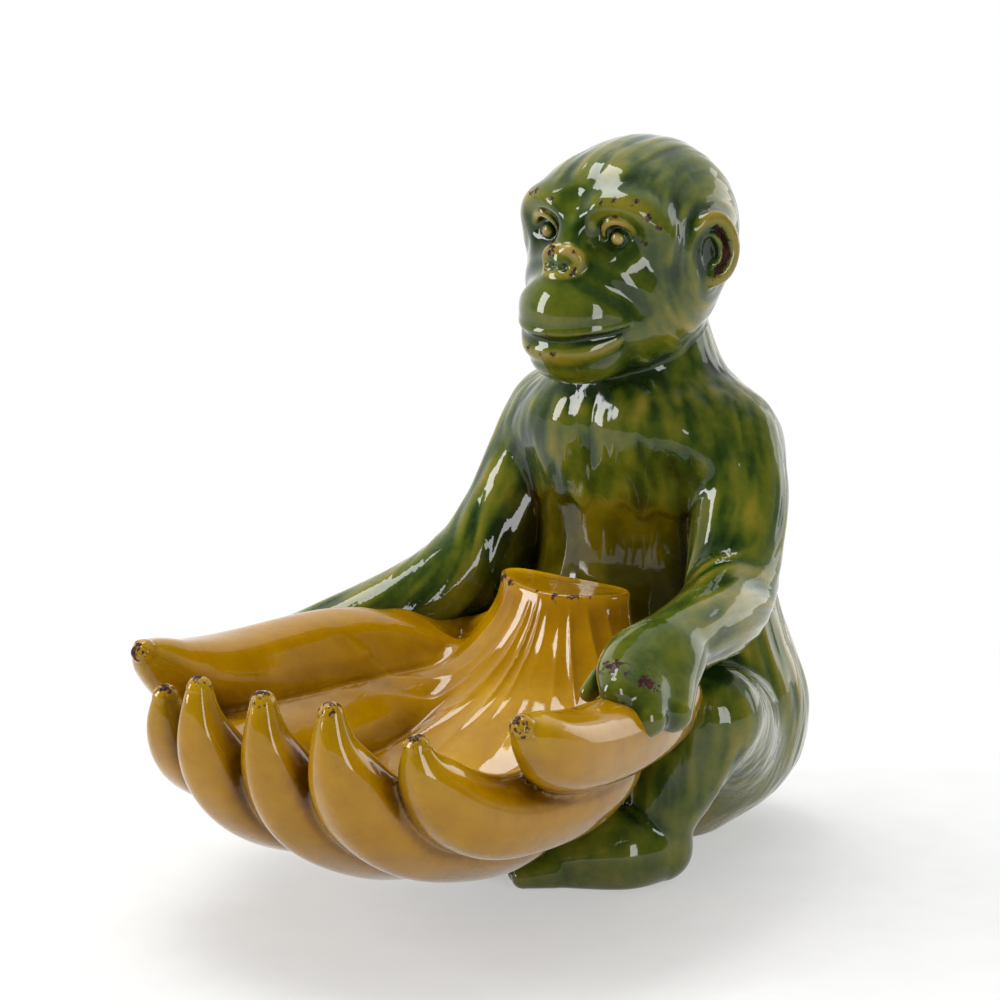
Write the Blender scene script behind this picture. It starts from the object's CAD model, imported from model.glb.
# %% [markdown]
# # A glazed ceramic ape with a bowl of bananas
# The real object is one slip-cast earthenware figure. The clay was carved with soft strokes
# for fur, dipped in coloured majolica glazes and fired. This lesson models the clay in
# numbers, as a distance function, then skins it with quads, and paints two glazes on it.
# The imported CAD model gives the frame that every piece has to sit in.

# %% Load the frame
import itertools
import math
import time

import bpy
import numpy as np
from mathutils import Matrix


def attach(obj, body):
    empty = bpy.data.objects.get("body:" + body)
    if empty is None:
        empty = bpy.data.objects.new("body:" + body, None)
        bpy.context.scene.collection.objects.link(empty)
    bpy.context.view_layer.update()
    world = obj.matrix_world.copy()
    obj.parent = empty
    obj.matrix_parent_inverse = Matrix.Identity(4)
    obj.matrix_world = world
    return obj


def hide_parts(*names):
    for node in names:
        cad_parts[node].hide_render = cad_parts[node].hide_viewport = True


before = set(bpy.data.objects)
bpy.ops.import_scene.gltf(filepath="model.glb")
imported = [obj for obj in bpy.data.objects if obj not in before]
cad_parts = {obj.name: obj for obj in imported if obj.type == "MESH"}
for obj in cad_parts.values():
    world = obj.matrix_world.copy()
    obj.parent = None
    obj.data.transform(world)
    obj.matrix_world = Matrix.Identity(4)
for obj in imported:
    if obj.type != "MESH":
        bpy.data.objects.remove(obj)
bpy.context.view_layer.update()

import openvdb
from mathutils import Vector

# %% [markdown]
# Clay is worked in millimetres here, because glaze and carving have sizes of a few
# millimetres, and Blender's metres come in only when a mesh is made.

# %% Working sizes
MM = 0.001
GRID_MM = 1.2
FAR_MM = 40.0
WALL_MM = 1.2
STARTED = time.time()


def table_of(*rows):
    return np.array(rows, dtype=np.float32)


def clock():
    return f"{time.time() - STARTED:.0f} s"


# %% [markdown]
# A distance function says how far a point is from the clay: negative inside, zero on the
# skin. Lumps pressed together melt into each other, so two distances are melded with a
# soft minimum, whose softness sets the fillet in millimetres. Carving is the same sum with
# the sign turned round.

# %% Pressing and carving clay
def meld(first, second, soft):
    close = np.maximum(soft - np.abs(first - second), 0.0) / soft
    return np.minimum(first, second) - close * close * soft * 0.25


def carve(clay, tool, soft):
    return -meld(-clay, tool, soft)


def ease(value, low, high):
    share = np.clip((value - low) / (high - low), 0.0, 1.0)
    return share * share * (3.0 - 2.0 * share)


def blob(points, centre, half_sizes):
    offset = points - np.float32(centre)
    half = np.float32(half_sizes)
    reach = np.sqrt(((offset / half) ** 2).sum(1))
    slope = np.sqrt(((offset / half**2) ** 2).sum(1))
    return reach * (reach - 1.0) / np.maximum(slope, 1e-6)


def only_near(points, low, high, shape, reach=14.0):
    # the shape's distance where it can matter, and a large one elsewhere
    near = np.all((points > np.float32(low) - reach) & (points < np.float32(high) + reach), axis=1)
    distance = np.full(len(points), FAR_MM, np.float32)
    if near.any():
        distance[near] = shape(points[near])
    return distance


def both_sides(points):
    # a copy of the points with the ape's right folded onto its left
    folded = points.copy()
    folded[:, 0] = np.abs(folded[:, 0])
    return folded


# %% [markdown]
# Arms, fingers, lids and bananas follow a curve. A cubic spline through a few rows gives the
# middle line, and the nearest place on it is found by sampling it and then by Newton's rule.
# A spline bends evenly, and gloss would show any kink of a chain of straight pieces.

# %% Clay along a curve
def bend_rule(rows):
    # second differences of the natural cubic spline through evenly numbered rows
    bends = np.zeros_like(rows)
    inner = len(rows) - 2
    if inner > 0:
        system = 4 * np.eye(inner) + np.eye(inner, k=1) + np.eye(inner, k=-1)
        bends[1:-1] = np.linalg.solve(system, 6 * (rows[:-2] - 2 * rows[1:-1] + rows[2:]))
    return bends


def on_curve(rows, bends, place, order=0):
    number = np.clip(np.floor(place).astype(int), 0, len(rows) - 2)
    t = (place - number)[:, None].astype(np.float32)
    a, b = rows[number], rows[number + 1]
    p, q = bends[number], bends[number + 1]
    if order == 0:
        s = 1 - t
        return s * a + t * b + ((s**3 - s) * p + (t**3 - t) * q) / 6
    if order == 1:
        return b - a + ((1 - 3 * (1 - t) ** 2) * p + (3 * t**2 - 1) * q) / 6
    return (1 - t) * p + t * q


def nearest_place(points, rows, bends):
    middle, turns = rows[:, :3], bends[:, :3]
    samples = np.linspace(0, len(rows) - 1, 3 * (len(rows) - 1) + 1)
    best = np.full(len(points), 1e9, np.float32)
    place = np.zeros(len(points), np.float32)
    for sample, spot in zip(samples, on_curve(middle, turns, samples)):
        gap = ((points - spot) ** 2).sum(1)
        nearer = gap < best
        best[nearer] = gap[nearer]
        place[nearer] = sample
    for _ in range(3):
        gap = points - on_curve(middle, turns, place)
        way = on_curve(middle, turns, place, 1)
        turn = on_curve(middle, turns, place, 2)
        square = (way**2).sum(1)
        stiff = np.maximum(square - (gap * turn).sum(1), 0.3 * square)
        step = np.clip((gap * way).sum(1) / stiff, -0.35, 0.35)
        place = np.clip(place + step, 0, len(rows) - 1).astype(np.float32)
    return place


def rod(*rows):
    # rows of x, y, z and radius, with their spline
    rows = table_of(*rows)
    return rows, bend_rule(rows)


def along_rod(points, shape):
    rows, bends = shape
    row = on_curve(rows, bends, nearest_place(points, rows, bends))
    return np.sqrt(((points - row[:, :3]) ** 2).sum(1)) - row[:, 3]


def roll(points, shape, reach=9.0):
    rows = shape[0]
    low = (rows[:, :3] - rows[:, 3:4]).min(0)
    high = (rows[:, :3] + rows[:, 3:4]).max(0)
    return only_near(points, low, high, lambda near: along_rod(near, shape), reach)


def profile(rows, height):
    # smooth curves through a table whose first column is the height
    fine = on_curve(rows, bend_rule(rows), np.linspace(0, len(rows) - 1, 1200))
    return [np.interp(height, fine[:, 0], fine[:, n]).astype(np.float32) for n in range(1, rows.shape[1])]


# %% [markdown]
# ## The ape's body
# The torso is a stack of oval sections, each with a height, half width, half depth and how
# far back it sits. Its flat foot is where the figure rests, with a shallow recess for the
# vent. A groove marks the spine, and a scalloped ledge under the chest is where the carved
# fur ends over the bare belly.

# %% Torso clay
TORSO_MM = table_of(
    (-6, 22, 20, 1.7),
    (0, 27, 24, 1.7),
    (6.2, 33.5, 29, 1.7),
    (19.4, 44, 36.5, 2.3),
    (37.8, 54, 43.3, 2.9),
    (52.8, 55.6, 43.9, 2.9),
    (68.6, 50.2, 39.9, 2.3),
    (88, 44, 34.5, 3.5),
    (109, 42.5, 32.5, 3.5),
    (129, 43.5, 33, 1.3),
    (146, 38, 31.5, -0.8),
    (160, 28, 25.5, -2.2),
    (176, 22.8, 22.5, -5),
    (190, 19, 20, -8),
)
SPINE_LOW = rod((0, 51, 4, 3), (0, 51.5, 24, 2.6), (0, 48, 48, 2))
SPINE_HIGH = rod((0, 42.5, 76, 2.5), (0, 37.5, 108, 3), (0, 34, 150, 2))
VENT_MM = (0, 16, 8)    # place and radius
HEM_MM = 117.0
LEDGE_MM = 1.1


def torso_clay(points):
    height = points[:, 2]
    wide, deep, back = profile(TORSO_MM, height)
    x, y = points[:, 0], points[:, 1] - back
    reach = np.sqrt((x / wide) ** 2 + (y / deep) ** 2)
    slope = np.sqrt((x / wide**2) ** 2 + (y / deep**2) ** 2)
    clay = reach * (reach - 1.0) / np.maximum(slope, 1e-6)
    clay = np.maximum(clay, height - 186.0)
    side = both_sides(points)
    clay = meld(clay, blob(side, (15, -20, 141), (16, 11.5, 14)), 10.0)
    clay = meld(clay, blob(side, (26, 12, 34), (25, 29, 27)), 10.0)
    hem = HEM_MM + 2.6 * np.sin(0.42 * x + 0.8) * np.sin(0.17 * x + 2.0) - 0.004 * x * x
    front = ease(-points[:, 1], 4, 20)
    ledge = ease(height, hem - 1.6, hem + 2.2) - ease(height, hem + 3, hem + 22)
    clay = clay - LEDGE_MM * front * ledge
    clay = carve(clay, roll(points, SPINE_LOW, 14), 7.0)
    return carve(clay, roll(points, SPINE_HIGH, 14), 9.0)


# %% [markdown]
# The head is built as a sculptor would press it: skull, cheeks, muzzle and jaw first, then
# the brow, and only then the tools that open the sockets, nostrils and mouth. The two sides
# are alike, so most tools work on the distance from the middle plane.

# %% Head clay
BROW = rod(
    (3.6, -39.6, 212.6, 3), (9, -39.6, 215.6, 3.6), (15.2, -37.6, 217.2, 4),
    (21, -34, 215, 3.9), (25, -29.6, 209.4, 3.1), (26.2, -27.4, 203.4, 1.8),
)
UPPER_LID = rod(
    (8.9, -38.4, 207.6, 0.6), (9.8, -39.6, 211.4, 1.2), (14.2, -39.7, 213.9, 1.6),
    (18.6, -36.6, 211.6, 1.4), (21.4, -32.6, 206.8, 0.7),
)
NOSE_RIM = rod(
    (-0.4, -49.6, 203.4, 1), (3, -50, 204.6, 1.5), (6.3, -48.7, 201.8, 1.8),
    (5.7, -49.8, 198.1, 1.8), (2.8, -51.6, 196.7, 1.5), (-0.4, -52.2, 196.5, 1.2),
)
BRIDGE = rod((0, -38.5, 214, 4), (0, -42, 209, 4.2), (0, -46, 203, 4.4))
UPPER_LIP = rod(
    (-1.5, -57.6, 177.9, 1), (6, -56.9, 178, 1.1), (12.5, -52.9, 178.9, 1.1),
    (17.4, -46.6, 179.8, 0.9), (20.6, -41.6, 181.4, 0.5),
)
MOUTH = rod(
    (-1.5, -59.3, 175.5, 1.5), (6, -58.4, 175.6, 1.5), (12, -54.6, 176.5, 1.3),
    (17.5, -48.2, 177.6, 1), (21.6, -42.4, 179.4, 0.5),
)
LOWER_LIP = rod(
    (-1.5, -55, 171.6, 3), (6.5, -54, 171.8, 3), (12.5, -49.6, 173, 2.6),
    (17, -44.2, 175.4, 1.8),
)
CHEEK_FOLD = rod(
    (10.4, -51.6, 197.6, 0.8), (16.8, -47.4, 193.4, 1.1), (21.6, -42.6, 188.8, 0.9),
    (24.8, -39, 184.6, 0.3),
)
EYE_MM = (13.5, -32.6, 207.6)


def ring(points, centre, radius, thick):
    # a thin hoop facing forward, for the groove round the iris
    offset = points - np.float32(centre)
    away = np.sqrt(offset[:, 0] ** 2 + offset[:, 2] ** 2) - radius
    return np.sqrt(away**2 + offset[:, 1] ** 2) - thick


def eye_clay(side):
    x, y, z = EYE_MM
    ball = blob(side, EYE_MM, (5.6, 5.6, 5.6))
    ball = carve(ball, ring(side, (x, y - 5.3, z), 3.1, 0.8), 0.6)
    return meld(ball, blob(side, (x, y - 4.4, z), (2.7, 2.3, 2.7)), 0.4)


def face_clay(points):
    side = both_sides(points)
    clay = blob(points, (0, -9, 201.8), (32, 36, 34))
    clay = meld(clay, blob(points, (0, 4, 206), (28, 24, 27.4)), 8.0)
    clay = meld(clay, blob(points, (0, -25.5, 213), (24.5, 15.2, 16)), 8.0)
    clay = meld(clay, blob(points, (0, -18, 184), (27.5, 27.5, 25)), 12.0)
    clay = meld(clay, blob(points, (0, -37.5, 183), (20.6, 21.4, 19)), 9.0)
    clay = meld(clay, blob(points, (0, -41, 168.3), (15.5, 14.5, 9.2)), 5.0)
    clay = meld(clay, roll(side, BROW, 14), 8.0)
    clay = carve(clay, blob(points, (0, -47.4, 218), (4.2, 6, 8)), 5.0)
    clay = carve(clay, blob(side, (13.8, -46.4, 208.6), (9.2, 10, 7)), 5.5)
    clay = meld(clay, roll(points, BRIDGE, 12), 5.0)
    clay = meld(clay, only_near(side, (7, -40, 201), (20, -26, 214), eye_clay, 6.0), 0.8)
    clay = meld(clay, roll(side, UPPER_LID), 0.9)
    clay = meld(clay, blob(points, (0, -46.6, 200.4), (7.2, 4.8, 5.6)), 3.0)
    clay = meld(clay, roll(side, NOSE_RIM), 1.4)
    clay = carve(clay, blob(side, (2.6, -53.9, 199), (1.5, 2.6, 1.2)), 1.4)
    clay = carve(clay, roll(side, CHEEK_FOLD, 14), 6.5)
    clay = meld(clay, roll(side, UPPER_LIP), 2.0)
    clay = meld(clay, roll(side, LOWER_LIP), 2.6)
    return carve(clay, roll(side, MOUTH), 1.4)


EAR_RIM = rod(
    (28.6, -17.4, 206, 1.6), (30.4, -14.6, 210.8, 2.2), (33, -9.4, 212.4, 2.5),
    (35.2, -5.2, 208, 2.6), (35.8, -4, 200.8, 2.6), (34.4, -6.2, 194.4, 2.5),
    (31.4, -10.6, 191.8, 2.4), (28.8, -13.8, 193.6, 1.8),
)
EAR_FOLD = rod(
    (30.4, -14.2, 207, 0.9), (32.4, -10.8, 207.2, 1.2), (33.8, -8.2, 203, 1.4),
    (33.4, -8.4, 198.6, 1.2), (31.6, -11.2, 195.8, 0.9),
)


def ear_clay(points):
    side = both_sides(points)
    clay = blob(side, (31.2, -8, 201.8), (4.6, 8.4, 10.6))
    clay = carve(clay, blob(side, (35.4, -12.4, 201.8), (5.2, 7.4, 8.6)), 1.5)
    clay = meld(clay, roll(side, EAR_RIM), 1.8)
    return meld(clay, roll(side, EAR_FOLD), 1.0)


# %% [markdown]
# The arms hang from round shoulders and rest on the rim of the bowl. The left hand lies
# over the outer banana with its fingers bent down the outside, and the right hand holds the
# bowl from outside, on the far side of the photographed view.

# %% Arm clay
LEFT_ARM = rod(
    (36, -2, 137, 15.5), (41.8, -7, 122, 16.2), (46.6, -16.5, 105, 15.6),
    (52.6, -30, 92.5, 14.8), (59, -50, 90, 13.6), (63.6, -72, 90, 12),
    (65.4, -88, 88.4, 11.6),
)
RIGHT_ARM = rod(
    (-36, -2, 137, 15.5), (-41.4, -7, 122, 15.9), (-45.8, -16.5, 104, 15),
    (-52.1, -31, 88, 14.4), (-65.4, -50.4, 75.5, 13.4), (-80.6, -71.8, 67.5, 12),
    (-87.5, -88, 62, 11.6),
)
LEFT_FINGERS = (
    rod((58.5, -97, 87.4, 7.2), (62.2, -107.5, 87, 7), (66, -114.5, 86, 6.2),
        (69, -119, 83.6, 5.4)),
    rod((66, -94, 87.2, 7.4), (70.4, -104.5, 84.4, 7.2), (74.8, -111.5, 79.6, 6.6),
        (77.6, -115, 75.4, 6)),
    rod((70.4, -87, 85, 7.2), (75.4, -96.5, 80, 7), (79, -103, 75, 6.4)),
)
LEFT_THUMB = rod(
    (58, -85, 88, 5.4), (53.4, -93, 84.8, 4.6), (50.4, -100, 80.4, 3.8), (48.8, -104.6, 76.6, 3),
)
RIGHT_FINGERS = (
    rod((-87.5, -96, 70, 6.4), (-89.4, -111, 69, 5.6), (-89.2, -123, 67, 4.2)),
    rod((-88.5, -96, 63, 6.6), (-90.4, -113, 61.5, 5.7), (-89.8, -126, 60, 4.3)),
    rod((-88, -96, 56.5, 6.4), (-89, -111, 54.5, 5.5), (-87.4, -123, 53.5, 4.2)),
    rod((-86.5, -94, 51, 5.6), (-86.4, -107, 48.5, 4.9), (-84.4, -117, 48, 3.8)),
)
RIGHT_THUMB = rod((-86, -86, 66, 5.6), (-86.6, -97, 69.5, 4.9), (-86.4, -106, 71.5, 3.8))


def hand_clay(points, arm, palm, palm_half, fingers, thumb, close):
    clay = meld(along_rod(points, arm), blob(points, palm, palm_half), 7.0)
    for finger in fingers:
        clay = meld(clay, roll(points, finger, 12), close)
    return meld(clay, roll(points, thumb, 10), 3.0)


def left_arm_clay(points):
    palm, palm_half = (64.6, -94.5, 87), (12, 15, 9.6)
    return hand_clay(points, LEFT_ARM, palm, palm_half, LEFT_FINGERS, LEFT_THUMB, 5.6)


def right_arm_clay(points):
    palm, palm_half = (-86.5, -91, 62), (8.8, 13, 13)
    clay = hand_clay(points, RIGHT_ARM, palm, palm_half, RIGHT_FINGERS, RIGHT_THUMB, 3.0)
    return meld(clay, blob(points, (-44, -24, 79), (11, 14, 12)), 6.0)


# %% [markdown]
# The legs are drawn up beside the bowl and the feet turn in under it. They are the same on
# both sides. The shin meets the broad foot in a tight crease, where glaze gathers.

# %% Leg clay
THIGH = rod((27, 2, 32, 24), (43, -20, 46.5, 19.5), (53, -38.5, 55, 15.5))
SHIN = rod(
    (53.4, -40.5, 55.5, 14.4), (48, -46.5, 39, 13.8), (42.4, -50.5, 25, 12), (39.6, -52.5, 13, 10.4),
)
FOOT = rod(
    (40.4, -52, 11.2, 11.6), (34, -61.5, 11.4, 13.8), (25.5, -68.5, 9.6, 12.2), (15, -74, 6, 9),
)
TOES = (
    rod((17, -79, 5.5, 6), (11, -86, 4.4, 4.2)),
    rod((14, -76, 6, 6), (7, -82.5, 4.6, 4.2)),
    rod((12, -72, 6, 5.6), (4.5, -77.5, 4.6, 4)),
    rod((12, -67.5, 5.6, 5.2), (4.8, -71.5, 4.4, 3.8)),
)


def leg_clay(points):
    side = both_sides(points)
    clay = meld(roll(side, THIGH, 30), roll(side, SHIN, 20), 6.0)
    clay = meld(clay, blob(side, (34, -45, 32), (13, 13, 20)), 6.0)
    clay = meld(clay, roll(side, FOOT, 20), 2.6)
    for toe in TOES:
        clay = meld(clay, roll(side, toe, 12), 1.6)
    return clay


# %% [markdown]
# The whole ape is one skin. The arms flow into the shoulders with a wide fillet and press
# against the ribs with a tight one, so the softness changes with height. The jaw and nape
# end in a crease. Nothing goes below the table.

# %% Whole ape
CREASE_SOFT_MM = 2.2
APE_CLAY = {
    "torso": (torso_clay, (-60, -45, 0), (60, 52, 190)),
    "head": (face_clay, (-34, -62, 157), (34, 30, 238)),
    "ear": (ear_clay, (-39, -22, 187), (39, 2, 217)),
    "left_arm": (left_arm_clay, (18, -122, 66), (94, 16, 156)),
    "right_arm": (right_arm_clay, (-98, -134, 40), (-18, 16, 156)),
    "leg": (leg_clay, (-74, -94, 0), (74, 30, 74)),
}


def ape_parts(points):
    return {name: only_near(points, low, high, shape) for name, (shape, low, high) in APE_CLAY.items()}


def vent_clay(points):
    x, y, radius = VENT_MM
    return np.maximum(np.hypot(points[:, 0] - x, points[:, 1] - y) - radius, points[:, 2] - 3.0)


def ape(points):
    parts, height = ape_parts(points), points[:, 2]
    shoulder = CREASE_SOFT_MM + 15.0 * ease(height, 114, 140)
    clay = meld(parts["torso"], parts["left_arm"], shoulder)
    clay = meld(clay, parts["right_arm"], shoulder)
    clay = meld(clay, parts["leg"], 2.6)
    clay = meld(clay, parts["head"], CREASE_SOFT_MM + 5.0 * ease(points[:, 1], 4, 26))
    clay = meld(clay, parts["ear"], 1.8)
    clay = carve(clay, only_near(points, (-8, 8, -4), (8, 24, 3), vent_clay), 0.8)
    return carve(clay, height, 1.6)


# %% [markdown]
# ## The bunch of bananas
# Seven bananas curve down from the cut crown, forward under the bowl and up to blunt tips.
# Each row is a place on the middle line with a half width and a half thickness. The bowl is
# the inside of the bunch: there the bananas melt together with a fine line left between
# them, and outside the creases stay deep.

# %% Banana clay
FRONT_GIRTHS_MM = table_of(
    (4, 4), (7.5, 7), (11.8, 10.5), (14.8, 12.6), (15.4, 12.9), (15.2, 12.6), (14.6, 12.2),
    (11.8, 10.6), (7.4, 7.2), (4.2, 4.2),
)
BANANA_MM = {
    4: np.hstack([table_of(
        (0, -47, 82), (0, -62.4, 57), (0, -85.3, 36.5), (0, -112.3, 27), (0, -141.4, 29.5),
        (0, -166.4, 38.1), (0, -187.2, 50.6), (0, -199.4, 65.4), (0, -205.2, 77.6),
        (0, -206.4, 88.2),
    ), FRONT_GIRTHS_MM]),
    5: np.hstack([table_of(
        (7.7, -47, 82), (13.1, -62.4, 58.5), (20.5, -85.3, 40), (24.6, -110.2, 30.7),
        (26.2, -139.4, 33.5), (26.2, -166.4, 41), (26.2, -187.2, 53.2), (26, -199.2, 67),
        (25.6, -204.6, 78.4), (25.3, -205.6, 88.6),
    ), FRONT_GIRTHS_MM]),
    6: table_of(
        (14.6, -47, 78.5, 4, 4), (26.2, -60.3, 59.5, 7.5, 7), (40, -81.1, 50.2, 12.2, 11),
        (48.5, -108.2, 46.5, 16.2, 12.8), (51.6, -137.3, 47.4, 16.2, 12.9),
        (51.6, -160.2, 50.2, 15, 12.6),
        (50.8, -176.4, 57, 13.2, 12), (49.5, -186.6, 65.6, 10.6, 10), (48.7, -192, 73, 7.4, 7.2),
        (48.4, -194, 79.8, 4.2, 4.2),
    ),
    7: table_of(
        (18.5, -45.8, 74.4, 4, 4), (32.3, -52, 61.4, 6.5, 6.5), (45.8, -60.3, 62, 11.5, 10),
        (57, -77, 66.2, 15.6, 11.8), (64, -101.9, 67.2, 15.6, 12.4), (67.6, -129, 68, 15.2, 12.4),
        (71, -150.8, 72.4, 13.2, 11.6), (72.8, -163, 78, 10.2, 9.6), (73, -170.4, 82.6, 7.2, 7),
        (72.8, -174.6, 85.6, 4.2, 4.2),
    ),
    1: table_of(
        (-18.5, -45.8, 74.4, 4, 4), (-32.3, -52, 61.4, 6.5, 6.5), (-46.2, -60.3, 62, 11.5, 10),
        (-58.5, -77, 66.5, 15.8, 11.8), (-66.5, -101.9, 67.8, 16.2, 12.4),
        (-70.5, -129, 68.5, 15.6, 12.4),
        (-72.5, -151.8, 73, 13.2, 11.6), (-73.4, -163, 78.4, 10.2, 9.6), (-73.2, -170.4, 83, 7.2, 7),
        (-72.8, -175, 86.2, 4.2, 4.2),
    ),
}
for right, left in ((3, 5), (2, 6)):
    BANANA_MM[right] = BANANA_MM[left] * np.float32((-1, 1, 1, 1, 1))
HUB_MM = np.float32((0, -125, 121))


def with_wide_way(rows):
    # adds the direction across each banana, square to its line and to the bowl's middle
    way = np.gradient(rows[:, :3], axis=0)
    across = np.cross(rows[:, :3] - HUB_MM, way)
    across /= np.linalg.norm(across, axis=1)[:, None]
    return np.hstack([rows, across]).astype(np.float32)


BANANAS = {number: with_wide_way(BANANA_MM[number]) for number in range(1, 8)}
BANANA_BENDS = {number: bend_rule(rows) for number, rows in BANANAS.items()}


def unit(vectors):
    return vectors / np.maximum(np.linalg.norm(vectors, axis=1), 1e-9)[:, None]


def banana_clay(points, number):
    rows, bends = BANANAS[number], BANANA_BENDS[number]
    place = nearest_place(points, rows, bends)
    row = on_curve(rows, bends, place)
    way = unit(on_curve(rows[:, :3], bends[:, :3], place, 1))
    across = row[:, 5:8]
    across = unit(across - (across * way).sum(1)[:, None] * way)
    inward = np.cross(way, across)
    offset = points - row[:, :3]
    inward = inward * np.sign(((HUB_MM - row[:, :3]) * inward).sum(1))[:, None]
    wide = (offset * across).sum(1)
    rise = (offset * inward).sum(1)
    ahead = (offset * way).sum(1)
    angle = np.arctan2(rise, wide)
    facet = 1.0 + 0.026 * np.cos(5 * angle + 0.9) + 0.014 * np.cos(3 * angle)
    half_wide, half_thick = row[:, 3] * facet, row[:, 4] * facet
    cap = 0.5 * (half_wide + half_thick)
    reach = np.sqrt((wide / half_wide) ** 2 + (rise / half_thick) ** 2 + (ahead / cap) ** 2)
    slope = np.sqrt((wide / half_wide**2) ** 2 + (rise / half_thick**2) ** 2 + (ahead / cap**2) ** 2)
    return reach * (reach - 1.0) / np.maximum(slope, 1e-6), rise / half_thick


# %% [markdown]
# The crown is the cut stem of the bunch, higher at its two corners. It flares down into the
# bowl, and the necks of the bananas run off it as sharp folds that fan out and fade.

# %% Crown and bunch clay
CROWN_MM = table_of(
    (30, -84, 18, 28),
    (38, -77, 25, 32),
    (46, -68, 33, 33),
    (52, -61, 37, 29.5),
    (60, -55, 38, 23),
    (70, -51, 34, 17),
    (80, -48.6, 27.4, 13.4),
    (86, -47.8, 25.2, 12.2),
    (93.5, -47, 24.6, 11.4),
    (102, -46.4, 25.4, 11),
)
BACK_WALL = rod(
    (-25, -42, 78, 5), (-34, -39.6, 71.6, 5.8), (-45, -39, 67, 6.6),
    (-54, -45.5, 68, 7.4), (-60, -57, 69, 8),
)
BUNCH_BOX = ((-92, -212, 10), (92, -24, 100))
CROWN_BOX = ((-70, -112, 32), (70, -24, 98))
FOLDS_IN_A_TURN = 28.0
FOLD_MM = 0.95
LINE_MM, LINE_HALF_WIDTH_MM = 0.45, 2.4


def crown_clay(points):
    x, height = points[:, 0], points[:, 2]
    middle, wide, deep = profile(CROWN_MM, height)
    y = points[:, 1] - middle
    reach = np.sqrt((x / wide) ** 2 + (y / deep) ** 2)
    slope = np.sqrt((x / wide**2) ** 2 + (y / deep**2) ** 2)
    clay = reach * (reach - 1.0) / np.maximum(slope, 1e-6)
    rim = 92.2 + np.where(x < 0, 3.4, 1.8) * (x / 24.0) ** 2 - 0.9 * np.exp(-((y / 7.0) ** 2))
    clay = carve(clay, rim - height, 1.6)
    clay = np.maximum(clay, 38.0 - height)
    return meld(clay, roll(points, BACK_WALL, 14), 7.0)


def fold_height(points):
    x, y, z = points[:, 0], points[:, 1] + 46.0, points[:, 2]
    reach = np.hypot(x, y)
    turn = np.arctan2(x, -y)
    fade = ease(reach, 11, 17) * (1.0 - ease(reach, 30, 96)) * ease(np.cos(turn), -0.25, 0.25)
    turn = turn + 0.06 * np.sin(3.1 * turn + 0.7 + 0.02 * reach) + 0.03 * np.sin(9.0 * turn + 1.0)
    crest = np.maximum(1.0 - np.sqrt(np.sin(0.5 * FOLDS_IN_A_TURN * turn) ** 2 + 0.004), 0.0)
    uneven = 0.55 + 0.45 * np.sin(5.3 * turn + 0.05 * reach + 2.0)
    return FOLD_MM * crest**1.3 * uneven * fade * ease(93.0 - z, 1.0, 12.0) * ease(z, 34, 42)


def banana_parts(points):
    parts = {}
    for number, rows in BANANAS.items():
        low, high = rows[:, :3].min(0) - 25, rows[:, :3].max(0) + 25
        near = np.all((points > low) & (points < high), axis=1)
        clay = np.full(len(points), FAR_MM, np.float32)
        inward = np.zeros(len(points), np.float32)
        if near.any():
            clay[near], inward[near] = banana_clay(points[near], number)
        parts[number] = (clay, inward)
    return parts


def bunch(points):
    parts, crown = banana_parts(points), only_near(points, *CROWN_BOX, crown_clay)
    clay, inward = parts[4]
    first, second = clay, np.full(len(points), FAR_MM, np.float32)
    for number in (5, 3, 6, 2, 7, 1):
        other, other_inward = parts[number]
        inside = ease(np.minimum(inward, other_inward), -0.15, 0.35)
        inward = np.where(other < first, other_inward, inward)
        second = np.minimum(np.maximum(first, other), second)
        first = np.minimum(first, other)
        clay = meld(clay, other, 3.0 + 6.5 * inside)
    inside = ease(inward, 0.0, 0.4)
    clay = clay + LINE_MM * inside * np.exp(-(((second - first) / LINE_HALF_WIDTH_MM) ** 2))
    on_crown = ease(first - crown, -3.0, 1.0)
    return meld(clay, crown, 9.0) - fold_height(points) * np.maximum(inside, on_crown)


# %% [markdown]
# ## From clay to skin
# The distance is sampled on a grid, first roughly in blocks of four steps, then finely only
# in blocks near the skin. OpenVDB, which ships with Blender, turns the grid into quads, and
# each corner is then slid along the slope of the distance until it lies on the skin. The
# slope is also the exact normal, which keeps the gloss smooth on a coarse mesh.

# %% Skin the clay
BLOCK = 4


def skin_of(shape, low, high, step):
    low = np.float32(low) - 3 * step
    counts = np.ceil((np.float32(high) + 3 * step - low) / (BLOCK * step)).astype(int)
    axes = [low[n] + (np.arange(counts[n]) + 0.5) * BLOCK * step - 0.5 * step for n in range(3)]
    middles = np.stack(np.meshgrid(*axes, indexing="ij"), -1).reshape(-1, 3).astype(np.float32)
    rough = np.concatenate([shape(part) for part in np.array_split(middles, 8)])
    near = np.flatnonzero(np.abs(rough) < 1.4 * BLOCK * step + 2.0 * step)
    field = np.repeat(np.clip(rough, -4, 4).astype(np.float32), BLOCK**3).reshape(-1, BLOCK, BLOCK, BLOCK)
    cell = np.stack(np.meshgrid(*[np.arange(BLOCK)] * 3, indexing="ij"), -1).reshape(-1, 3)
    inner = ((cell - (BLOCK - 1) / 2) * step).astype(np.float32)
    for part in np.array_split(near, max(1, len(near) // 4000)):
        spots = (middles[part][:, None, :] + inner[None]).reshape(-1, 3)
        field[part] = shape(spots).reshape(-1, BLOCK, BLOCK, BLOCK)
    field = field.reshape(*counts, BLOCK, BLOCK, BLOCK).transpose(0, 3, 1, 4, 2, 5)
    field = field.reshape(counts * BLOCK)
    grid = openvdb.FloatGrid(background=4.0)
    grid.copyFromArray(np.ascontiguousarray(field))
    corners, quads = grid.convertToQuads()
    return (low + corners * step).astype(np.float32), quads.astype(np.int64)


def in_lots(function, points):
    # the same sum in smaller lots, which fit the processor's memory better
    return np.concatenate([function(lot) for lot in np.array_split(points, max(1, len(points) // 30000))])


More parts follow.
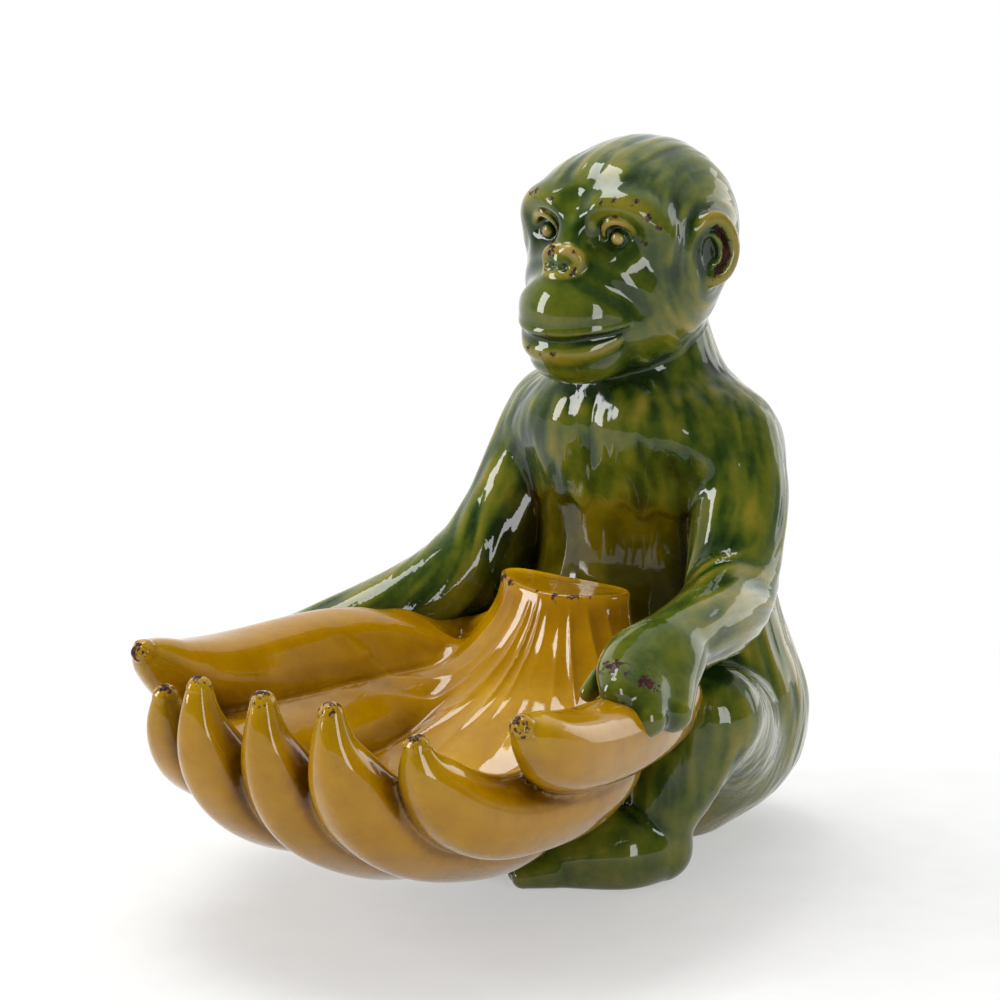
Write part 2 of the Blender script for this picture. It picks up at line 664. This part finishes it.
def four_corners(height, points, reach):
    # heights at the corners of a tiny pyramid, summed along the ways to them
    total = np.zeros_like(points)
    for way in table_of((1, 1, 1), (1, -1, -1), (-1, 1, -1), (-1, -1, 1)):
        total += height(points + way * np.float32(reach))[:, None] * way
    return total


def slope_of(shape, points, reach=0.2):
    total = four_corners(lambda spots: in_lots(shape, spots), points, reach)
    return total / np.float32(4 * reach)


def settle(shape, points, rounds=2):
    for _ in range(rounds):
        slope = slope_of(shape, points)
        size = np.maximum((slope**2).sum(1), 0.05)
        push = np.clip(in_lots(shape, points) / size, -1.0, 1.0)
        points = (points - push[:, None] * slope).astype(np.float32)
    return points


ape_points, ape_quads = skin_of(ape, (-98, -134, 0), (98, 52, 238), GRID_MM)
print("ape skin", len(ape_points), "corners", len(ape_quads), "quads", clock())
bunch_points, bunch_quads = skin_of(bunch, *BUNCH_BOX, GRID_MM)
print("bunch skin", len(bunch_points), "corners", len(bunch_quads), "quads", clock())

# %% [markdown]
# Small features, such as the lids and folds, need finer quads than the back does. A quad in
# the chosen area is split in four, and its unsplit neighbours become triangles that use the
# new edge points, so that the skin stays closed. A face is a row of four corner numbers, and
# a triangle has -1 as its fourth.

# %% Finer quads where the detail is
def edge_starts_ends(faces):
    # every face's edges in order, with the number of the face
    three = faces[:, 3] < 0
    starts, ends, owners = [], [], []
    for n in range(4):
        end = faces[:, (n + 1) % 4]
        if n == 2:
            end = np.where(three, faces[:, 0], end)
        keep = np.flatnonzero(~three) if n == 3 else np.arange(len(faces))
        starts.append(faces[keep, n])
        ends.append(end[keep])
        owners.append(keep)
    return np.concatenate(starts), np.concatenate(ends), np.concatenate(owners)


def refined(points, quads, chosen):
    edges = np.sort(np.stack([quads, np.roll(quads, -1, axis=1)], -1).reshape(-1, 2), axis=1)
    code = edges[:, 0] * len(points) + edges[:, 1]
    _, first, where = np.unique(code, return_index=True, return_inverse=True)
    where = where.reshape(-1, 4)
    split = np.zeros(len(first), bool)
    split[where[chosen].ravel()] = True
    number = np.cumsum(split) - 1 + len(points)
    middles = points[edges[first[split]]].mean(1)
    centres = points[quads[chosen]].mean(1)
    centre = len(points) + len(middles) + np.arange(len(centres))
    corner, middle = quads[chosen], number[where[chosen]]
    small = [np.stack([corner[:, n], middle[:, n], centre, middle[:, n - 1]], 1) for n in range(4)]
    touched = ~chosen & split[where].any(1)
    triangles = []
    for quad, sides in zip(quads[touched], where[touched]):
        loop = []
        for n in range(4):
            loop += [quad[n], number[sides[n]]] if split[sides[n]] else [quad[n]]
        start = next(n for n, v in enumerate(loop) if v >= len(points))
        loop = loop[start:] + loop[:start]
        triangles += [(loop[0], loop[n], loop[n + 1], -1) for n in range(1, len(loop) - 1)]
    triangles = np.array(triangles, np.int64).reshape(-1, 4)
    faces = np.concatenate([quads[~chosen & ~touched], *small, triangles])
    return np.concatenate([points, middles, centres]).astype(np.float32), faces


def box_of(points, low, high):
    return np.all((points > np.float32(low)) & (points < np.float32(high)), axis=1)


DETAILED_MM = (
    ((-30, -70, 157), (30, -22, 226)),      # face
    ((26, -22, 187), (40, 2, 217)),         # ears
    ((-40, -22, 187), (-26, 2, 217)),
    ((46, -122, 66), (90, -80, 104)),       # left hand
)
CALM_REACH_MM = 1.6
middles = ape_points[ape_quads].mean(1)
detailed = np.any([box_of(middles, *box) for box in DETAILED_MM], axis=0)
ape_points, ape_faces = refined(ape_points, ape_quads, detailed)
middles = bunch_points[bunch_quads].mean(1)
crown_way = np.hypot(middles[:, 0], middles[:, 1] + 46)
bunch_points, bunch_faces = refined(bunch_points, bunch_quads, (crown_way < 62) & (middles[:, 2] > 42))
ape_points = settle(ape, ape_points)
bunch_points = settle(bunch, bunch_points)
ape_normals = unit(slope_of(ape, ape_points))
bunch_normals = unit(slope_of(bunch, bunch_points))
ape_calm = unit(slope_of(ape, ape_points, CALM_REACH_MM))
bunch_calm = unit(slope_of(bunch, bunch_points, CALM_REACH_MM))
print("settled", len(ape_points), "and", len(bunch_points), "corners", clock())

# %% [markdown]
# ## Carved fur
# The fur is a field of soft strokes about three millimetres wide and fifteen long. Smooth
# random hills are stretched along the way that the hair lies: down and outward on the body,
# round the ear on the head, and along the arms. Each corner is moved by the height of its
# stroke, and its normal is tilted by the same slope.

# %% Fur strokes
DICE = np.random.default_rng(11)
SHUFFLE = DICE.permutation(256)
HILLS = DICE.random(256).astype(np.float32) * 2.0 - 1.0
STROKE_MM = 0.34
STROKE_SIZE_MM = (3.6, 3.6, 17.0)
PARTS_MIX_MM = 3.0
STEP_MM = 0.3


def hills(places):
    # smooth random hills of one unit, between -1 and 1
    cell = np.floor(places).astype(np.int64)
    share = (places - cell).astype(np.float32)
    share = share * share * (3.0 - 2.0 * share)
    total = np.zeros(len(places), np.float32)
    for corner in itertools.product((0, 1), repeat=3):
        spot = (cell + np.array(corner)) & 255
        mixed = SHUFFLE[(SHUFFLE[(SHUFFLE[spot[:, 0]] + spot[:, 1]) & 255] + spot[:, 2]) & 255]
        weight = np.prod(np.where(corner, share, 1.0 - share), axis=1)
        total += HILLS[mixed] * weight
    return total


def lie_on_limb(points, shape):
    rows, bends = shape
    place = nearest_place(points, rows, bends)
    middle = on_curve(rows, bends, place)[:, :3]
    way = unit(on_curve(rows[:, :3], bends[:, :3], place, 1))
    first = unit(np.cross(way, np.float32((0.2, 0.9, 0.4))))
    second = np.cross(way, first)
    offset = points - middle
    return np.stack([(offset * first).sum(1), (offset * second).sum(1), place * 21.0], 1)


def lie_of(points, part):
    # two ways across the strokes and one along them, in millimetres
    x, y, z = points.T
    if part == "torso":
        spread = 45.0 / (45.0 + 0.45 * np.clip(175.0 - z, 0.0, 200.0))
        return np.stack([x * spread, y, z], 1)
    if part in ("head", "ear"):
        round_ear = (np.arctan2(z - 200.0, -y - 6.0) + 2.4) % (2 * np.pi)
        return np.stack([np.hypot(y + 6.0, z - 200.0), x, round_ear * 26.0], 1)
    if part == "left_arm":
        return lie_on_limb(points, LEFT_ARM)
    if part == "right_arm":
        return lie_on_limb(points, RIGHT_ARM)
    return np.stack([x, y, z], 1)


def strokes(points, weights):
    total = np.zeros(len(points), np.float32)
    for part, weight in weights.items():
        near = weight > 0.02
        if near.any():
            lie = lie_of(points[near], part) / np.float32(STROKE_SIZE_MM)
            height = hills(lie) + 0.45 * hills(lie * np.float32((2.1, 2.1, 1.5)) + 9.0)
            total[near] += weight[near] * height
    return total


def fur_share(points, weights):
    # how hairy each place is: the face, belly, hands and feet are nearly bare
    y, z = points[:, 1], points[:, 2]
    head = np.maximum(ease(y, -42, -24), ease(z, 221, 230))
    belly = 1.0 - 0.55 * ease(-y, 8, 22) * (1 - ease(z, 112, 122))
    arm = 1.0 - 0.8 * ease(-y, 70, 88)
    leg = 0.2 + 0.5 * ease(z, 14, 30)
    kinds = {"torso": belly, "head": head, "ear": 0 * z, "left_arm": arm, "right_arm": arm, "leg": leg}
    return sum(kinds[part] * weight for part, weight in weights.items()).astype(np.float32)


parts = ape_parts(ape_points)
nearest = np.stack(list(parts.values()))
share = np.exp(-(nearest - nearest.min(0)) / PARTS_MIX_MM)
weights = dict(zip(parts, share / share.sum(0)))
furry = fur_share(ape_points, weights)
ape_strokes = strokes(ape_points, weights)
stroke_slope = four_corners(lambda spots: strokes(spots, weights), ape_points, STEP_MM)
stroke_slope *= STROKE_MM * furry[:, None] / (4 * STEP_MM)
stroke_slope -= (stroke_slope * ape_normals).sum(1)[:, None] * ape_normals
above_table = ease(ape_points[:, 2], 0.5, 4.0)[:, None]
ape_points = ape_points + (STROKE_MM * ape_strokes * furry)[:, None] * ape_normals * above_table
ape_true_normals = ape_normals
ape_normals = unit(ape_normals - stroke_slope * above_table)
print("fur strokes up to", round(float(np.abs(ape_strokes * furry).max() * STROKE_MM), 2), "mm", clock())

# %% [markdown]
# ## What the glaze does
# Coloured glaze runs while it is hot. It pools dark in hollows and creases, and pulls thin
# over ridges, where the buff clay shows through. Hollows are found by asking how near the
# clay still is a short way above the skin, and ridges by asking how soon one comes out
# again below it. The amber glaze on the belly, the knocks that took glaze off, and the
# bare foot are painted as further values on the corners.

# %% Paint the glaze on the corners
SMALL_HOLLOW_MM = 2.2


def turns_of(shape, points, normals, wide, deep):
    # small hollows, wide hollows and sharp ridges, each as a share
    def clay_at(way):
        return in_lots(shape, points + normals * np.float32(way)) / np.float32(abs(way))

    small_hollow = np.clip(1.0 - clay_at(SMALL_HOLLOW_MM), -0.2, 1.0)
    wide_hollow = np.clip(1.0 - clay_at(wide), -0.2, 1.0)
    return small_hollow, wide_hollow, np.clip(1.0 + clay_at(-deep), 0.0, 1.0)


def knocks(points, spots):
    # one at the middle of a knock, falling to nought at its radius
    value = np.zeros(len(points), np.float32)
    for x, y, z, radius in spots:
        gap = ((points - np.float32((x, y, z))) ** 2).sum(1)
        away = np.sqrt(((points - points[gap.argmin()]) ** 2).sum(1))
        value = np.maximum(value, 1.0 - away / radius)
    return value


APE_KNOCKS_MM = (
    (15, -42.6, 222, 2.6), (20.5, -38.6, 220, 2.8), (23.2, -35.6, 215.6, 3.2),
    (25, -33, 212, 2), (10.5, -43.4, 220, 1.6), (-17.5, -41.4, 221.5, 3),
    (-20, -39, 219.5, 2.6), (-8.5, -43.6, 219.5, 2.2), (21.6, -33.4, 207, 1.8),
    (14.8, -41, 215.2, 1.6), (-13.5, -41, 215.2, 1.6), (-5, -42, 213, 1.2),
    (-3.6, -51.6, 204.2, 3.4), (4.6, -50.8, 204.2, 2), (-4.6, -52.4, 199.4, 2),
    (5.8, -51.2, 198, 2), (-12, -55, 178, 1.6), (-9, -57, 173, 2), (-2.5, -58.2, 171, 2),
    (2.5, -58, 171.5, 1.8), (0.5, -59, 178, 1.4), (66.6, -115.5, 86, 6.6),
    (73.5, -110.8, 82.4, 6.4), (-89, -112, 72, 3.4),
)
EAR_KNOCK = rod(
    (33.6, -10.6, 210.4, 0.4), (34.8, -7.8, 206, 0.9), (35.2, -6.8, 200.6, 1),
    (33.8, -9, 194.8, 0.8), (31, -12.6, 192.6, 0.4),
)
TIP_KNOCKS_MM = tuple((*BANANA_MM[n][-1][:3] + np.float32((0, -0.8, 3.6)), 6.4) for n in range(2, 7))
BUNCH_KNOCKS_MM = TIP_KNOCKS_MM + (
    (-73.2, -178.8, 87.4, 6), (73, -178.2, 87.6, 6.2), (71, -150, 84.5, 2), (71, -145, 82, 2),
    (-21.5, -54, 95, 4.6), (-16, -56.4, 93.6, 2.8), (-4, -58.6, 92.6, 2.2), (4, -58.6, 92.4, 3.2),
    (10.5, -57.6, 92.6, 3.4), (15.5, -56.4, 93, 2),
)
WIPED = (BROW, UPPER_LID, NOSE_RIM, LOWER_LIP)
WIPED_SHARES = (0.34, 0.48, 0.36, 0.22)

folded = both_sides(ape_points)
wiped = np.zeros(len(ape_points), np.float32)
for shape, share in zip(WIPED, WIPED_SHARES):
    wiped = np.maximum(wiped, share * ease(-roll(folded, shape), -1.6, -0.1))
bead = np.float32(EYE_MM) + np.float32((0, -5.6, 0))
wiped = np.maximum(wiped, 0.6 * ease(-np.sqrt(((folded - bead) ** 2).sum(1)), -2.9, -2.2))
wiped = np.maximum(wiped, 0.16 * ease(-roll(folded, EAR_RIM), -1.5, -0.1))
small_hollow, wide_hollow, sharp_ridge = turns_of(ape, ape_points, ape_true_normals, 8.0, 4.0)
x, y, z = ape_points.T
ragged = 4.0 * hills(ape_points / np.float32((6, 9, 9)))
belly = ease(-y, 10, 20) * (1 - ease(np.abs(x + 1.0), 30, 42))
belly = belly * ease(z, 70, 84) * (1 - ease(z + ragged, 114, 123))
near_bunch = np.exp(-np.maximum(only_near(ape_points, *BUNCH_BOX, bunch), 0.0) / 3.0)
ear_knock = ease(-roll(folded, EAR_KNOCK), -1.6, 0.2) * (x > 0)
ape_values = {
    "thin": np.clip(0.38 + 0.20 * ape_strokes * furry + wiped + 0.28 * sharp_ridge
                    - 0.95 * small_hollow - 0.45 * wide_hollow, 0.0, 1.0),
    "amber": np.clip(belly + 0.5 * near_bunch, 0.0, 1.0),
    "knock": np.maximum(knocks(ape_points, APE_KNOCKS_MM), ear_knock),
    "bare": 1.0 - ease(z, 0.1, 0.9),
}
small_hollow, wide_hollow, sharp_ridge = turns_of(bunch, bunch_points, bunch_normals, 9.0, 5.0)
tips = [BANANA_MM[n][-1][:3] for n in range(1, 8)]
tip_way = np.min([np.sqrt(((bunch_points - tip) ** 2).sum(1)) for tip in tips], axis=0)
near_ape = np.exp(-np.maximum(in_lots(ape, bunch_points), 0.0) / 2.2)
bunch_values = {
    "thin": np.clip(0.5 + 0.35 * sharp_ridge
                    - 0.7 * small_hollow - 0.25 * wide_hollow, 0.0, 1.0),
    "amber": np.clip(0.4 * (1 - ease(tip_way, 4, 18)) + 0.5 * near_ape, 0.0, 1.0),
    "knock": knocks(bunch_points, BUNCH_KNOCKS_MM),
    "bare": np.zeros(len(bunch_points), np.float32),
}
print("glaze painted", {name: round(float(v.mean()), 2) for name, v in ape_values.items()}, clock())

# %% [markdown]
# ## Pieces
# The figure is fired in one, but each part of it is its own piece here. Every face goes to
# the part that it is nearest to, and the piece gets an inner wall and a rim, as thin cast
# clay has. Pieces that share an edge also share its normals, so no seam shows in the gloss.

# %% Cut the skins into pieces
def middle_of(points, faces):
    corners = np.where(faces < 0, faces[:, :1], faces)
    return points[corners].mean(1)


def without_pinches(faces, owners):
    # where a piece would touch itself at one corner only, one piece takes all round it
    start, end, face = edge_starts_ends(faces)
    span = int(max(start.max(), end.max())) + 1
    key, back = start * span + end, end * span + start
    order = np.argsort(key)
    twin = order[np.searchsorted(key[order], back).clip(0, len(key) - 1)]
    for _ in range(40):
        border = owners[face] != owners[face[twin]]
        marks = start[border] * 100 + owners[face[border]]
        value, first, count = np.unique(marks, return_index=True, return_counts=True)
        pinched = value[count > 1]
        if not len(pinched):
            break
        taker = np.full(span, -1)
        taker[pinched // 100] = pinched % 100
        want = np.where(faces >= 0, taker[np.maximum(faces, 0)], -1).max(1)
        owners = np.where(want >= 0, want, owners)
    return owners


def mesh_of(name, points, faces, normals, values):
    mesh = bpy.data.meshes.new(name)
    flat = faces.ravel()
    corners = flat[flat >= 0].astype(np.int32)
    totals = (faces >= 0).sum(1)
    mesh.vertices.add(len(points))
    mesh.vertices.foreach_set("co", (points * MM).astype(np.float32).ravel())
    mesh.loops.add(len(corners))
    mesh.loops.foreach_set("vertex_index", corners)
    mesh.polygons.add(len(faces))
    firsts = np.concatenate([[0], np.cumsum(totals)[:-1]]).astype(np.int32)
    mesh.polygons.foreach_set("loop_start", firsts)
    mesh.polygons.foreach_set("use_smooth", np.ones(len(faces), bool))
    mesh.update(calc_edges=True)
    mended = mesh.validate()
    for label, value in values.items():
        mesh.attributes.new(label, "FLOAT", "POINT").data.foreach_set("value", value.astype(np.float32))
    mesh.normals_split_custom_set_from_vertices(normals.astype(float).tolist())
    piece = bpy.data.objects.new(name, mesh)
    bpy.context.scene.collection.objects.link(piece)
    return piece, mended


def cast_piece(name, points, faces, normals, calm, values):
    # the inner wall is set in along normals that small folds don't turn
    used = np.unique(faces[faces >= 0])
    number = np.full(len(points), -1)
    number[used] = np.arange(len(used))
    outer = np.where(faces >= 0, number[np.maximum(faces, 0)], -1)
    three = outer[:, 3] < 0
    inner = np.where(outer >= 0, outer + len(used), -1)[:, ::-1]
    inner[three] = np.roll(inner[three], -1, axis=1)
    start, end, _ = edge_starts_ends(outer)
    lonely = ~np.isin(start * len(used) + end, end * len(used) + start)
    a, b = start[lonely], end[lonely]
    rim = np.stack([b, a, a + len(used), b + len(used)], 1)
    both = np.concatenate([points[used], points[used] - WALL_MM * calm[used]])
    turned = np.concatenate([normals[used], -calm[used]])
    doubled = {label: np.concatenate([value[used], value[used]]) for label, value in values.items()}
    return mesh_of(name, both, np.concatenate([outer, inner, rim]), turned, doubled)


APE_PIECES = ("torso", "head", "left_ear", "right_ear", "left_arm", "right_arm", "left_leg", "right_leg")
# for each part of the ape's clay, its piece on the left and its piece on the right
SIDES = np.array(((0, 0), (1, 1), (2, 3), (4, 4), (5, 5), (6, 7)))
spots = middle_of(ape_points, ape_faces)
nearest = np.stack(list(ape_parts(spots).values())).argmin(0)
ape_owners = SIDES[nearest, np.where(spots[:, 0] > 0, 0, 1)]
ape_owners = without_pinches(ape_faces, ape_owners)

BUNCH_PIECES = ("crown",) + tuple(f"banana_{n}" for n in range(1, 8))
spots = middle_of(bunch_points, bunch_faces)
bananas = banana_parts(spots)
distances = [only_near(spots, *CROWN_BOX, crown_clay)] + [bananas[n][0] for n in range(1, 8)]
bunch_owners = without_pinches(bunch_faces, np.stack(distances).argmin(0))

pieces = {}
for names, points, faces, normals, calm, values, owners in (
    (APE_PIECES, ape_points, ape_faces, ape_normals, ape_calm, ape_values, ape_owners),
    (BUNCH_PIECES, bunch_points, bunch_faces, bunch_normals, bunch_calm, bunch_values, bunch_owners),
):
    for number, node_name in enumerate(names):
        own_faces = faces[owners == number]
        piece, mended = cast_piece(f"{node_name}_cast", points, own_faces, normals, calm, values)
        pieces[node_name] = piece
        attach(piece, "root")
        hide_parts(node_name)
        print(f"{piece.name}: {len(piece.data.polygons)} faces", "mended" if mended else "")
print("pieces made", clock())

# %% [markdown]
# ## Glazes
# Lead-free majolica glaze is a coloured glass over buff earthenware. Its surface reflects
# like glass, IOR about 1.5, and is nearly smooth, so a clear coat with low roughness carries
# the sharp window lights, and a fine stipple breaks their edges. Under it the colour goes
# from deep where the glaze is thick to tan where it is thin.

# %% Helpers for materials
def linear(code):
    # sRGB hex to the linear colour that nodes use
    parts = [int(code[n:n + 2], 16) / 255 for n in (1, 3, 5)]
    return (*[v / 12.92 if v <= 0.04045 else ((v + 0.055) / 1.055) ** 2.4 for v in parts], 1.0)


def feed(made, inputs):
    # fills a node's sockets with values, or links them to other nodes
    for socket, source in inputs.items():
        if isinstance(source, bpy.types.Node):
            source = source.outputs[0]
        if isinstance(source, bpy.types.NodeSocket):
            made.id_data.links.new(source, made.inputs[socket])
        else:
            made.inputs[socket].default_value = source


def node(tree, kind, inputs, **settings):
    # adds a node with its settings and links
    made = tree.nodes.new("ShaderNode" + kind)
    for name, value in settings.items():
        setattr(made, name, value)
    feed(made, inputs)
    return made


def set_ramp(ramp, stops):
    marks = ramp.color_ramp.elements
    while len(marks) < len(stops):
        marks.new(0.5)
    for mark, (place, code) in zip(marks, stops):
        mark.position = place
        mark.color = linear(code)
    return ramp


GREEN = (
    (0, "#162608"), (0.18, "#2c3d0d"), (0.36, "#4b5413"), (0.52, "#616118"),
    (0.68, "#766c21"), (0.84, "#8a7532"), (1, "#9e8450"),
)
AMBER = ((0, "#201d02"), (0.35, "#403a02"), (0.65, "#655808"), (1, "#8a7428"))
YELLOW = (
    (0, "#5e3a00"), (0.22, "#7a5200"), (0.45, "#946900"), (0.65, "#a27600"),
    (0.85, "#b68b06"), (1, "#c8a032"),
)
OLIVE = ((0, "#564602"), (0.45, "#7e6604"), (0.75, "#957c0e"), (1, "#aa9238"))
KNOCKED = ((0, "#22100f"), (0.5, "#38201f"), (1, "#5a3a30"))
BISCUIT = ((0, "#8a6238"), (0.5, "#a9804e"), (1, "#bf9a68"))
# size of each pattern in metres, how many finer ones it holds, and how strong these are
PATTERNS = {
    "clouds": (0.012, 3, 0.6),      # runs and clouds of the glaze
    "flecks": (0.002, 2, 0.6),
    "crumbs": (0.0022, 5, 0.7),     # ragged edges of the knocks
    "stipple": (0.0009, 2, 0.5),
    "swell": (0.007, 1, 0.5),
}
FLECK_SHARE = 0.14
KNOCK_RAGGED, KNOCK_FROM, KNOCK_TO = 4.2, 2.72, 2.84
STIPPLE_MM, SWELL_MM, KNOCK_DEEP_MM = 0.010, 0.055, 0.12


def glaze(name, main_stops, second_stops, cloudiness):
    material = bpy.data.materials.new(name)
    material.use_nodes = True
    tree = material.node_tree
    place = node(tree, "TexCoord", {}).outputs["Object"]
    values = {}
    for label in ape_values:
        values[label] = node(tree, "Attribute", {}, attribute_name=label).outputs["Fac"]
    pattern = {}
    for label, (size, detail, rough) in PATTERNS.items():
        inputs = {"Vector": place, "Scale": 1 / size, "Detail": detail, "Roughness": rough}
        pattern[label] = node(tree, "TexNoise", inputs)

    # colour by how thin the glaze is, made uneven by clouds and flecks
    thin = values["thin"]
    for source, share in ((pattern["clouds"], cloudiness), (pattern["flecks"], FLECK_SHARE)):
        thin = node(tree, "Math", {0: source, 1: share, 2: thin}, operation="MULTIPLY_ADD")
    even = 0.5 * (cloudiness + FLECK_SHARE)
    thin = node(tree, "Math", {0: thin, 1: even}, operation="SUBTRACT", use_clamp=True)
    main = set_ramp(node(tree, "ValToRGB", {"Fac": thin}), main_stops)
    second = set_ramp(node(tree, "ValToRGB", {"Fac": thin}), second_stops)
    inputs = {0: values["amber"], 6: main, 7: second}
    colour = node(tree, "Mix", inputs, data_type="RGBA").outputs[2]

    # knocks through the glaze down to the dark body, and bare clay under the seat
    ragged = {0: pattern["crumbs"], 1: KNOCK_RAGGED, 2: values["knock"]}
    ragged = node(tree, "Math", ragged, operation="MULTIPLY_ADD")
    edge = {"Value": ragged, "From Min": KNOCK_FROM, "From Max": KNOCK_TO}
    touched = node(tree, "Math", {0: values["knock"], 1: 0.05}, operation="GREATER_THAN")
    knocked = node(tree, "Math", {0: node(tree, "MapRange", edge), 1: touched}, operation="MULTIPLY")
    for share, stops in ((knocked, KNOCKED), (values["bare"], BISCUIT)):
        body = set_ramp(node(tree, "ValToRGB", {"Fac": pattern["flecks"]}), stops)
        colour = node(tree, "Mix", {0: share, 6: colour, 7: body}, data_type="RGBA").outputs[2]

    # stipple and a slow swell of the glass, and the depth of a knock, in millimetres
    height = 0.0
    reliefs = (("stipple", STIPPLE_MM), ("swell", SWELL_MM))
    for source, deep in [(pattern[label], deep) for label, deep in reliefs] + [(knocked, -KNOCK_DEEP_MM)]:
        height = node(tree, "Math", {0: source, 1: deep, 2: height}, operation="MULTIPLY_ADD")
    relief = node(tree, "Bump", {"Strength": 1, "Distance": MM, "Height": height})

    # glass on top: bare clay and knocks have hardly any of it
    dull = node(tree, "Math", {0: knocked, 1: values["bare"]}, operation="MAXIMUM")
    feed(tree.nodes["Principled BSDF"], {
        "Base Color": colour,
        "Roughness": node(tree, "MapRange", {"Value": dull, "To Min": 0.16, "To Max": 0.6}),
        "Specular IOR Level": 0.02,
        "IOR": 1.5,
        "Coat Weight": node(tree, "MapRange", {"Value": dull, "To Min": 0.85, "To Max": 0.15}),
        "Coat Roughness": 0.035,
        "Coat IOR": 1.5,
        "Normal": relief,
        "Coat Normal": relief,
    })
    return material


green_glaze = glaze("green_majolica_glaze", GREEN, AMBER, 0.6)
yellow_glaze = glaze("yellow_majolica_glaze", YELLOW, OLIVE, 0.5)
for node_name, piece in pieces.items():
    piece.data.materials.append(green_glaze if node_name in APE_PIECES else yellow_glaze)
print("materials", [m.name for m in (green_glaze, yellow_glaze)], clock())

# %% [markdown]
# ## Stage
# The camera stands a little to the ape's left and above it, with a long lens as product
# photographers use. The floor is white paper, which fades into the white room far from the
# figure and keeps its soft shadow near it.

# %% Camera and floor
AIM = Vector((0.0, -0.084, 0.128))
AWAY, FRAME_WIDTH = 1.4, 0.32
turn, lift = math.radians(35.5), math.radians(13.0)
level_way = math.cos(lift)
towards_camera = Vector((math.sin(turn) * level_way, -math.cos(turn) * level_way, math.sin(lift)))
lens = bpy.data.cameras.new("camera")
lens.sensor_width = 36.0
lens.lens = lens.sensor_width * AWAY / FRAME_WIDTH
camera = bpy.data.objects.new("camera", lens)
camera.location = AIM + AWAY * towards_camera
camera.rotation_euler = towards_camera.to_track_quat("Z", "Y").to_euler()
bpy.context.scene.collection.objects.link(camera)
bpy.context.scene.camera = camera
bpy.context.scene.view_settings.view_transform = "Standard"

floor_mesh = bpy.data.meshes.new("floor")
floor_mesh.from_pydata([(-4, -4, 0), (4, -4, 0), (4, 4, 0), (-4, 4, 0)], [], [(0, 1, 2, 3)])
floor = bpy.data.objects.new("floor", floor_mesh)
bpy.context.scene.collection.objects.link(floor)

paper = bpy.data.materials.new("white_paper")
paper.use_nodes = True
tree = paper.node_tree
shader = tree.nodes["Principled BSDF"]
place = node(tree, "TexCoord", {}).outputs["Object"]
fibres = node(tree, "TexNoise", {"Vector": place, "Scale": 1 / 0.02, "Detail": 3})
tint = set_ramp(node(tree, "ValToRGB", {"Fac": fibres}), ((0.3, "#d4d4d2"), (0.7, "#dadad8")))
feed(shader, {"Base Color": tint, "Roughness": 0.9})
path = node(tree, "LightPath", {}).outputs
seen = node(tree, "Math", {0: path["Is Camera Ray"], 1: path["Is Glossy Ray"]}, operation="MAXIMUM")
seen = node(tree, "Math", {0: seen, 1: path["Is Transmission Ray"]}, operation="MAXIMUM")
away = node(tree, "VectorMath", {0: place, 1: (0, -0.06, 0)}, operation="DISTANCE").outputs["Value"]
far = {"Value": away, "From Min": 0.12, "From Max": 0.34, "To Min": 0.42}
far = node(tree, "MapRange", far, interpolation_type="SMOOTHSTEP")
fade = node(tree, "Math", {0: far, 1: seen}, operation="MULTIPLY")
white = node(tree, "Emission", {"Color": (1, 1, 1, 1), "Strength": 1})
mixed = node(tree, "MixShader", {0: fade, 1: shader, 2: white})
feed(tree.nodes["Material Output"], {"Surface": mixed})
floor.data.materials.append(paper)

# %% [markdown]
# The room is pale behind the figure and darker towards the viewer, as a studio with white
# paper behind the object is. That gives the glaze its pale edges and a deep colour in the
# middle. Three lights stand as in the photograph: a window light on the left, a tall panel
# on the right and a soft one overhead, with a pale board behind on the right. Two wide, weak
# lights stand for what ceiling and walls send back, and the gloss doesn't show them.

# %% Room and lights
world = bpy.data.worlds.new("studio_room")
world.use_nodes = True
tree = world.node_tree
path = node(tree, "LightPath", {}).outputs
way = node(tree, "TexCoord", {}).outputs["Generated"]
behind = {0: way, 1: (-0.581, 0.814, 0)}
behind = node(tree, "VectorMath", behind, operation="DOT_PRODUCT").outputs["Value"]
level = {"Value": behind, "From Min": -0.3, "From Max": 0.75, "To Min": 0.08, "To Max": 1}
level = node(tree, "MapRange", level, interpolation_type="SMOOTHSTEP")
level = node(tree, "Math", {0: level, 1: path["Is Camera Ray"]}, operation="MAXIMUM")
feed(tree.nodes["Background"], {"Color": level})
bpy.context.scene.world = world

# name, way to it, distance, width, height, watts, and whether the gloss shows it
LIGHTS = (
    ("left_window_light", (-0.72, -0.66, 0.32), 1.6, 0.46, 1.00, 18, True),
    ("right_panel_light", (0.87, -0.45, 0.12), 1.5, 0.36, 1.10, 10, True),
    ("overhead_light", (-0.28, 0.05, 0.95), 1.5, 0.70, 0.70, 13, True),
    ("pale_board", (0.30, 0.95, 0.06), 1.7, 1.10, 1.30, 8, True),
    ("ceiling_bounce", (-0.10, 0.10, 0.99), 1.9, 2.20, 2.20, 22, False),
    ("front_fill", (0.80, -0.50, 0.34), 1.7, 1.60, 1.60, 6, False),
)
for name, way, distance, wide, tall, watts, in_gloss in LIGHTS:
    light = bpy.data.lights.new(name, "AREA")
    light.shape = "RECTANGLE"
    light.size, light.size_y, light.energy = wide, tall, watts
    way = Vector(way).normalized()
    stand = bpy.data.objects.new(name, light)
    stand.location = AIM + distance * way
    stand.rotation_euler = way.to_track_quat("Z", "Y").to_euler()
    stand.visible_glossy = in_gloss
    bpy.context.scene.collection.objects.link(stand)
print("lights", [light[0] for light in LIGHTS])

# %% Measure and finish
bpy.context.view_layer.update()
print("done in", clock())
